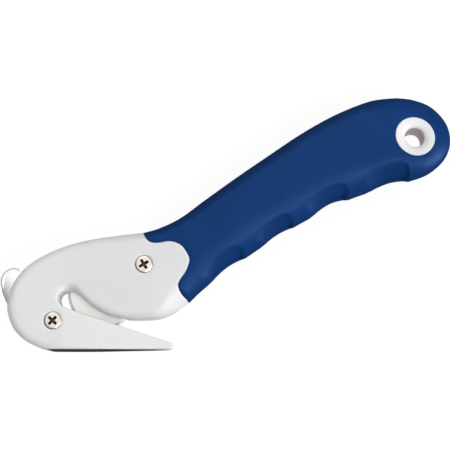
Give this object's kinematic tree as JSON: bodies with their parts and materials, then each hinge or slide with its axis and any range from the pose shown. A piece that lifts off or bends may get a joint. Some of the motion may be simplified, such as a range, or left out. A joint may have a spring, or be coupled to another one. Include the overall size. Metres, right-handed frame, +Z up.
{
  "type": "hooked safety cutter",
  "caption": "Hand-held hooked safety cutter with a guarded round blade in its throat, a tape splitter on the nose and a finger-grooved soft grip with a hanging eye.",
  "frame": {"origin": "centre of the bounding box, on the surface the knife lies on", "axes": "+X runs along the sole from the nose towards the tail, +Y from the sole towards the back of the handle, +Z up out of the face with the screw heads, with the knife lying on its side"},
  "size_m": [0.1764, 0.1004, 0.0184],
  "materials": {
    "white_plastic": "satin moulded white",
    "blue_grip": "soft-touch blue",
    "blade_steel": "ground",
    "splitter_steel": "stamped and polished",
    "screw_nickel": "nickel plated",
    "insert_brass": "turned",
    "nylon": "natural"
  },
  "bodies": {
    "knife": {"front_shell": "white_plastic", "rear_shell": "white_plastic", "front_grip": "blue_grip", "rear_grip": "blue_grip", "blade_hub": "nylon", "front_blade_washer": "nylon", "rear_blade_washer": "nylon", "tape_splitter": "splitter_steel", "nose_screw": "screw_nickel", "back_screw": "screw_nickel", "nose_insert": "insert_brass", "back_insert": "insert_brass"},
    "blade": {"round_blade": "blade_steel"}
  },
  "joints": [
    {"name": "blade_turn", "type": "hinge", "parent": "knife", "child": "blade", "pos_m": [-0.04777, -0.0274, 0.0092], "axis": [0, 0, 1], "continuous": true}
  ]
}
